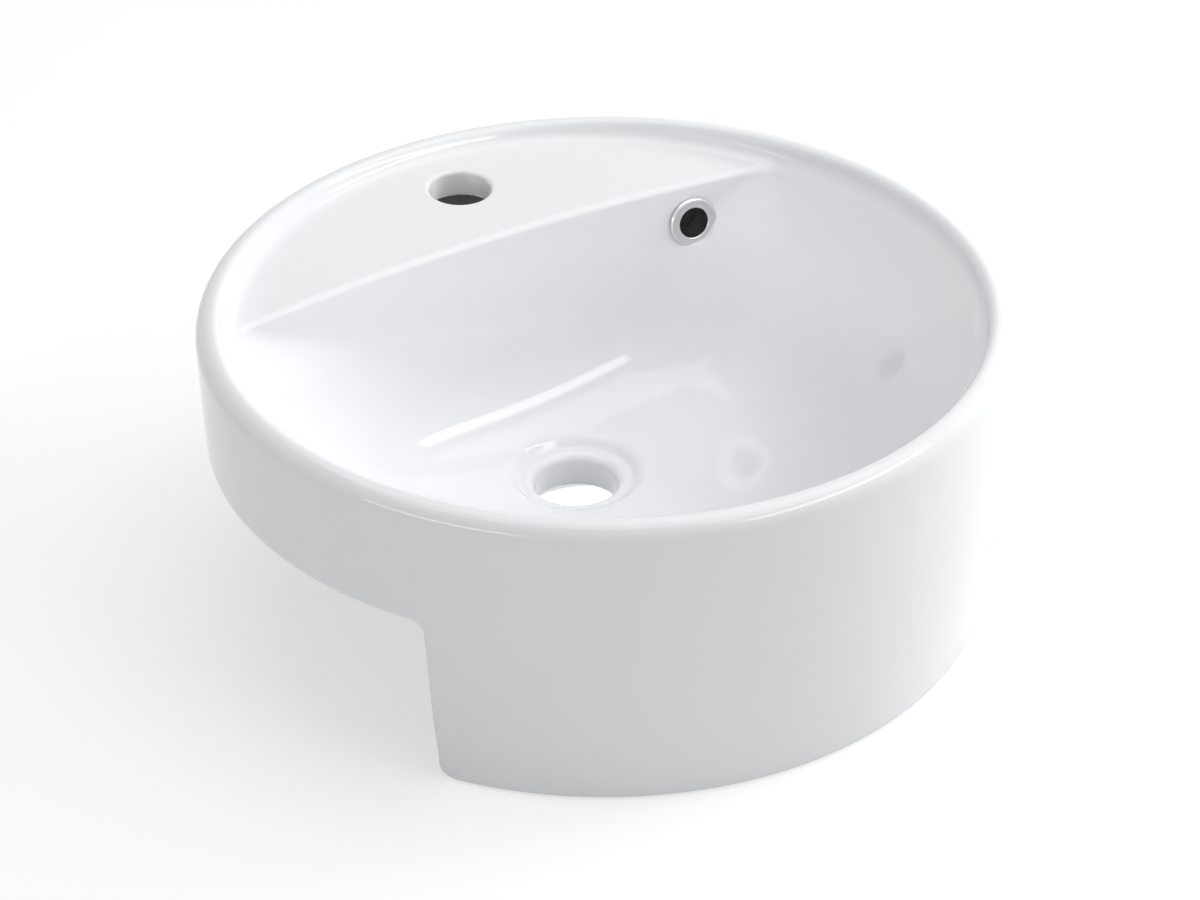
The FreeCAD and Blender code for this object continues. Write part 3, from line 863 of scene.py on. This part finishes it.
@dataclass
class Casting:
    """The basin's china casting."""

    sizes: CastingSizes = field(default_factory=CastingSizes)
    spacing: NetSpacing = field(default_factory=NetSpacing)

    def build(self, material: bpy.types.Material) -> bpy.types.Object:
        """Make the casting in place of its CAD node.

        Args:
            material: Glazed china.

        Returns:
            The finished piece.
        """
        form = CastingForm(self.sizes)
        points, quads = SurfaceNet(form, self.spacing).mesh()
        slope = form.uphill(points)
        normals = slope / np.linalg.norm(slope, axis=1, keepdims=True)
        mesh = bpy.data.meshes.new("china_casting")
        mesh.from_pydata((points * MM).tolist(), [], quads.tolist())
        mesh.polygons.foreach_set("use_smooth", [True] * len(quads))
        self.mark(mesh, Mark.THIN_GLAZE, self.convexity(points, normals, quads))
        self.mark(mesh, Mark.BARE_CLAY_AND_SHADE, self.unglazed_and_shaded(form, points, normals))
        mesh.normals_split_custom_set_from_vertices(normals.tolist())
        mesh.materials.append(material)
        piece = link(bpy.data.objects.new("china_casting", mesh))
        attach(piece, BODY)
        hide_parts("basin_body")
        LOG.info("china casting: %d points, %d quads", len(points), len(quads))
        return piece

    @staticmethod
    def mark(mesh: bpy.types.Mesh, kind: Mark, values: np.ndarray) -> None:
        """Store one value for each point of a mesh."""
        layer = mesh.attributes.new(kind.value, "FLOAT", "POINT")
        layer.data.foreach_set("value", values.astype(np.float32))

    @staticmethod
    def convexity(
        points: np.ndarray, normals: np.ndarray, quads: np.ndarray, sharp: float = 0.15
    ) -> np.ndarray:
        """How sharply the surface turns outwards, from nought to one.

        Args:
            points: Points of the mesh.
            normals: Normals at the points.
            quads: Quads of the mesh.
            sharp: Turn in each millimetre that counts as one.

        Returns:
            One value for each point.
        """
        starts = quads.ravel()
        ends = np.roll(quads, -1, axis=1).ravel()
        along = points[ends] - points[starts]
        length = np.maximum((along**2).sum(axis=1), 1e-6)
        bend = ((normals[ends] - normals[starts]) * along).sum(axis=1) / length
        total = np.zeros(len(points))
        count = np.zeros(len(points))
        np.add.at(total, starts, bend)
        np.add.at(count, starts, 1)
        return np.clip(total / np.maximum(count, 1) / sharp, 0, 1)

    def unglazed_and_shaded(self, form: CastingForm, points: np.ndarray, normals: np.ndarray) -> np.ndarray:
        """Where the casting has no glaze: its undersides and the hollow inside its skirt, which the material
        greys as painted shade.

        Args:
            form: Formula of the casting.
            points: Points of the mesh.
            normals: Normals at the points.

        Returns:
            One for bare clay and nought for glaze at each point.
        """
        x, y, z = points.T
        s = self.sizes
        on_form, on_level, downward, above_roof = 0.2, 0.5, -0.9, 1.0
        outer = np.abs(form.outside(x, y, z)) < on_form
        wet = np.abs(form.wet_air(x, y, z)) < on_form
        under_skirt = (np.abs(z - s.skirt_level) < on_level) & (normals[:, 2] < downward)
        standing = (z < on_level) | under_skirt
        sprayed = np.hypot(x, y - s.waste_y) < 2 * s.outlet_radius
        from_overflow = np.linalg.norm(points - np.array(form.overflow_at), axis=1)
        sprayed |= from_overflow < 2 * s.overflow_radius
        roof = form.ledge_level - s.ledge_thickness + above_roof
        hidden = ~(outer | wet | sprayed) & (z < roof)
        return np.where(standing | hidden, 1.0, 0.0)


class TurnedSection:
    """Geometry Nodes tree that turns a section round the overflow's axis."""

    def __init__(self) -> None:
        """Build the tree once."""
        tree = bpy.data.node_groups.new("turned_section", "GeometryNodeTree")
        face = tree.interface
        face.new_socket("Section", in_out="INPUT", socket_type="NodeSocketGeometry")
        face.new_socket("Piece", in_out="OUTPUT", socket_type="NodeSocketGeometry")
        sectors = face.new_socket("Sectors", in_out="INPUT", socket_type="NodeSocketInt")
        radius = face.new_socket("Section Radius", in_out="INPUT", socket_type="NodeSocketFloat")
        finish = face.new_socket("Finish", in_out="INPUT", socket_type="NodeSocketMaterial")
        self.sectors, self.radius, self.finish = sectors.identifier, radius.identifier, finish.identifier
        self.tree = tree
        nodes = NodeTree(tree)
        entry = nodes.add("NodeGroupInput")
        leave = nodes.add("NodeGroupOutput")
        section = nodes.add("GeometryNodeMeshToCurve")
        circle = nodes.add("GeometryNodeCurvePrimitiveCircle", mode="RADIUS")
        swept = nodes.add("GeometryNodeCurveToMesh")
        merged = nodes.add("GeometryNodeMergeByDistance")
        merged.inputs["Distance"].default_value = 1e-7
        real = nodes.add("GeometryNodeRealizeInstances")
        dressed = nodes.add("GeometryNodeSetMaterial")
        nodes.join(entry.outputs["Section"], section.inputs["Mesh"])
        nodes.join(entry.outputs["Sectors"], circle.inputs["Resolution"])
        nodes.join(entry.outputs["Section Radius"], circle.inputs["Radius"])
        nodes.join(circle.outputs["Curve"], swept.inputs["Curve"])
        nodes.join(section.outputs["Curve"], swept.inputs["Profile Curve"])
        nodes.join(swept.outputs["Mesh"], merged.inputs["Geometry"])
        nodes.join(merged.outputs["Geometry"], real.inputs["Geometry"])
        nodes.join(real.outputs["Geometry"], dressed.inputs["Geometry"])
        nodes.join(entry.outputs["Finish"], dressed.inputs["Material"])
        nodes.join(dressed.outputs["Geometry"], leave.inputs["Piece"])

    def turn(
        self, name: str, corners: Section, centre: float, sectors: int, material: bpy.types.Material
    ) -> bpy.types.Mesh:
        """Turn a closed section into a mesh about Z.

        Args:
            name: Name of the mesh.
            corners: Section as radius and height, in millimetres.
            centre: Radius of the circle that the section follows, in millimetres.
            sectors: Number of sectors.
            material: Finish of the piece.

        Returns:
            The turned mesh, about the origin.
        """
        flat = bpy.data.meshes.new(f"{name}_section")
        count = len(corners)
        edges = [(n, (n + 1) % count) for n in range(count)]
        places = [((radius - centre) * MM, -height * MM, 0) for radius, height in corners]
        flat.from_pydata(places, edges, [])
        holder = link(bpy.data.objects.new(f"{name}_holder", flat))
        modifier = holder.modifiers.new("turn", "NODES")
        modifier.node_group = self.tree
        modifier[self.sectors] = sectors
        modifier[self.radius] = centre * MM
        modifier[self.finish] = material
        graph = bpy.context.evaluated_depsgraph_get()
        mesh = bpy.data.meshes.new_from_object(holder.evaluated_get(graph))
        holder.modifiers.clear()
        bpy.data.objects.remove(holder)
        mesh.name = name
        shape = bmesh.new()
        shape.from_mesh(mesh)
        bmesh.ops.recalc_face_normals(shape, faces=shape.faces)
        shape.to_mesh(mesh)
        shape.free()
        return mesh


def arc(centre: tuple[float, float], radius: float, first: float, last: float, steps: int) -> Section:
    """Points of an arc.

    Args:
        centre: Centre as radius and height.
        radius: Radius of the arc.
        first: First angle in degrees.
        last: Last angle in degrees.
        steps: Number of steps.

    Returns:
        Points from the first to the last angle.
    """
    angles = [math.radians(first + (last - first) * n / steps) for n in range(steps + 1)]
    return [(centre[0] + radius * math.cos(a), centre[1] + radius * math.sin(a)) for a in angles]


@dataclass
class OverflowFitting:
    """Chrome ring on the back wall and the rubber sleeve behind it."""

    turned: TurnedSection
    casting: CastingSizes = field(default_factory=CastingSizes)
    sizes: RingSizes = field(default_factory=RingSizes)

    def seat(self) -> float:
        """Height at which the ring's flat back first meets the hollow wall."""
        reach = self.casting.back_wall_arc
        return (2 * self.sizes.radius) ** 2 / 8 / reach

    def ring_section(self) -> Section:
        """Section of the chrome ring: bead, dished face, inner lip and spigot."""
        s = self.sizes
        seat, bead = self.seat(), s.bead
        lip_at = (s.hole + s.lip, seat + s.rise - s.lip)
        return [
            (s.spigot, -s.spigot_length),
            (s.spigot, seat),
            (s.radius - bead, seat),
            *arc((s.radius - bead, seat + bead), bead, -80, 110, 14),
            (s.radius - 2 * bead, seat + s.dish),
            *arc(lip_at, s.lip, 75, 180, 8),
            (s.hole, seat - 1),
            (s.throat, -s.spigot_length),
        ]

    def sleeve_section(self) -> Section:
        """Section of the sleeve with its three ribs."""
        s = self.sizes
        root = s.sleeve_radius - s.rib_height
        corners = [(s.spigot, -s.sleeve_start)]
        gap = (s.sleeve_length - s.rib_width) / 2
        for rib in range(3):
            top = -s.sleeve_start - rib * gap
            low = top - s.rib_width
            corners += [(root, top), (s.sleeve_radius, top - s.rib_lead)]
            corners += [(s.sleeve_radius, low + s.rib_lead), (root, low)]
        corners.append((s.spigot, -s.sleeve_start - s.sleeve_length))
        return corners[::-1]

    def stand(self, mesh: bpy.types.Mesh, form: CastingForm) -> None:
        """Stand a turned mesh on the wall at the overflow.

        Args:
            mesh: Mesh about the origin, changed in place.
            form: Formula that knows where the overflow is.
        """
        z = form.overflow_axis
        x = Vector((math.cos(form.overflow_turn), -math.sin(form.overflow_turn), 0))
        y = z.cross(x)
        at = form.overflow_at * MM
        rows = [(x[n], y[n], z[n], at[n]) for n in range(3)]
        mesh.transform(Matrix((*rows, (0, 0, 0, 1))))

    def build(
        self, name: str, corners: Section, node: str, slot: str, material: bpy.types.Material
    ) -> bpy.types.Object:
        """Make one turned piece in place of its CAD node.

        Args:
            name: Name of the piece.
            corners: Section of the piece.
            node: CAD node that it replaces.
            slot: Record's material slot, not used.
            material: Finish of the piece.

        Returns:
            The finished piece.
        """
        mesh = self.turned.turn(name, corners, self.sizes.spigot, self.sizes.sectors, material)
        self.stand(mesh, CastingForm(self.casting))
        mesh.polygons.foreach_set("use_smooth", [True] * len(mesh.polygons))
        mesh.set_sharp_from_angle(angle=math.radians(self.sizes.sharp_angle))
        piece = link(bpy.data.objects.new(name, mesh))
        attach(piece, BODY)
        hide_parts(node)
        LOG.info("%s: %d faces", name, len(mesh.polygons))
        return piece


def dress(name: str, material: bpy.types.Material) -> None:
    """Give a CAD node its finish.

    Args:
        name: Name of the node.
        material: Finish of the node.
    """
    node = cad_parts[name]
    for place in node.material_slots:
        place.material = material
    LOG.info("%s: dressed", name)


@dataclass(frozen=True)
class SoftBox:
    """One soft studio light."""

    name: str
    at: tuple[float, float, float]
    towards: tuple[float, float, float]
    width: float
    depth: float
    power: float
    mirrored: bool = True


@dataclass
class Studio:
    """Floor, surroundings, lights and camera."""

    lens: float = 97.6
    sensor: float = 36.0
    camera_at: tuple[float, float, float] = (-0.7842, -1.2493, 1.0385)
    camera_look: tuple[float, float, float] = (0.4434, 0.7096, -0.5477)
    camera_right: tuple[float, float, float] = (0.8463, -0.5327, -0.005)
    boxes: tuple[SoftBox, ...] = (
        SoftBox("overhead_box", (0.2, 0.2, 2.0), (0, 0, 0.1), 2.4, 2.0, 17.5),
        SoftBox("right_box", (1.9, -0.3, 0.8), (0, 0, 0.1), 1.0, 1.2, 22.0, mirrored=False),
        SoftBox("front_right_box", (0.84, -1.04, 1.35), (0, 0, 0.1), 1.7, 0.3, 7.0),
        SoftBox("left_box", (-1.75, -0.55, 0.5), (0, 0, 0.1), 1.4, 0.2, 4.0),
    )

    def camera(self) -> None:
        """Camera fitted to the photo."""
        look = Vector(self.camera_look).normalized()
        up = Vector(self.camera_right).cross(look).normalized()
        right = look.cross(up).normalized()
        data = bpy.data.cameras.new("camera")
        data.lens = self.lens
        data.sensor_width = self.sensor
        data.clip_end = 50
        item = link(bpy.data.objects.new("camera", data))
        rows = [(right[n], up[n], -look[n], self.camera_at[n]) for n in range(3)]
        item.matrix_world = Matrix((*rows, (0, 0, 0, 1)))
        bpy.context.scene.camera = item

    def lights(self) -> None:
        """Soft boxes round the basin."""
        for box in self.boxes:
            data = bpy.data.lights.new(box.name, "AREA")
            data.shape = "RECTANGLE"
            data.size = box.width
            data.size_y = box.depth
            data.energy = box.power
            item = link(bpy.data.objects.new(box.name, data))
            item.location = box.at
            item.visible_glossy = box.mirrored
            aim = Vector(box.towards) - Vector(box.at)
            item.rotation_euler = aim.to_track_quat("-Z", "Y").to_euler()

    def surroundings(self, fill: float = 0.295) -> None:
        """White surroundings to the eye and in reflections, grey as a light.

        Args:
            fill: Strength of the light from all round.
        """
        world = bpy.data.worlds.new("studio")
        bpy.context.scene.world = world
        world.use_nodes = True
        nodes = NodeTree(world.node_tree)
        back = world.node_tree.nodes["Background"]
        back.inputs["Color"].default_value = (1, 1, 1, 1)
        nodes.join(nodes.span(nodes.showing(), fill, 1.0), back.inputs["Strength"])

    def paper(self, name: str, colors: tuple[Color, Color], glow: float) -> bpy.types.Material:
        """White paper that glows to the eye and in reflections.

        Args:
            name: Name of the material.
            colors: Colour of the paper as a light, and the colour that it shows.
            glow: Strength of the glow.

        Returns:
            The material.
        """
        material = bpy.data.materials.new(name)
        material.use_nodes = True
        nodes = NodeTree(material.node_tree)
        shader = material.node_tree.nodes["Principled BSDF"]
        seen = nodes.showing()
        lit, shown = colors
        nodes.join(nodes.blend(seen, rgba(lit), rgba(shown)), shader.inputs["Base Color"])
        shader.inputs["Emission Color"].default_value = (1, 1, 1, 1)
        nodes.join(nodes.math("MULTIPLY", seen, glow), shader.inputs["Emission Strength"])
        return material

    def floor(self, half: float = 6.0, sink: float = 0.0004) -> None:
        """White floor that keeps the basin's shadow.

        Args:
            half: Half of the floor's side.
            sink: Depth of the floor below the foot.
        """
        mesh = bpy.data.meshes.new("floor")
        corners = [(-half, -half), (half, -half), (half, half), (-half, half)]
        mesh.from_pydata([(x, y, -sink) for x, y in corners], [], [(0, 1, 2, 3)])
        material = self.paper("floor_paper", (PAPER, SHADED_PAPER), 0.59)
        shader = material.node_tree.nodes["Principled BSDF"]
        shader.inputs["Roughness"].default_value = 0.9
        shader.inputs["Specular IOR Level"].default_value = 0.1
        mesh.materials.append(material)
        link(bpy.data.objects.new("floor", mesh))

    def card(self, reach: float = 0.045) -> None:
        """White card under the outlet, so that the waste hole shows the white background.

        Args:
            reach: Radius of the card.
        """
        centre = (0.008, 0.03, -0.0002)
        mesh = bpy.data.meshes.new("outlet_card")
        shape = bmesh.new()
        bmesh.ops.create_circle(shape, cap_ends=True, segments=48, radius=reach)
        bmesh.ops.translate(shape, verts=shape.verts, vec=centre)
        shape.to_mesh(mesh)
        shape.free()
        mesh.materials.append(self.paper("card_paper", (PAPER, PAPER), 1.0))
        link(bpy.data.objects.new("outlet_card", mesh))

    def build(self) -> None:
        """Set up the whole studio."""
        self.camera()
        self.lights()
        self.surroundings()
        self.floor()
        self.card()
        bpy.context.scene.view_settings.view_transform = "Standard"
        LOG.info("studio: %d soft boxes", len(self.boxes))


def main() -> None:
    """Build the basin's pieces and the studio."""
    logging.basicConfig(level=logging.INFO, format="%(message)s")
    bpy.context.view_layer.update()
    workshop = Workshop()
    Casting().build(workshop.china(GLAZE, BISQUE_PAINTED_SHADE))
    fitting = OverflowFitting(TurnedSection())
    chrome, rubber = workshop.plain(CHROME), workshop.plain(RUBBER)
    fitting.build("overflow_ring", fitting.ring_section(), "overflow_trim_ring", "ring_chrome", chrome)
    fitting.build("ring_sleeve", fitting.sleeve_section(), "overflow_ring_sleeve", "sleeve_rubber", rubber)
    # The duct in the greyed clay: painted shade inside the overflow hole.
    dress("overflow_duct", workshop.plain(BISQUE_PAINTED_SHADE))
    Studio().build()


if __name__ == "__main__":
    main()
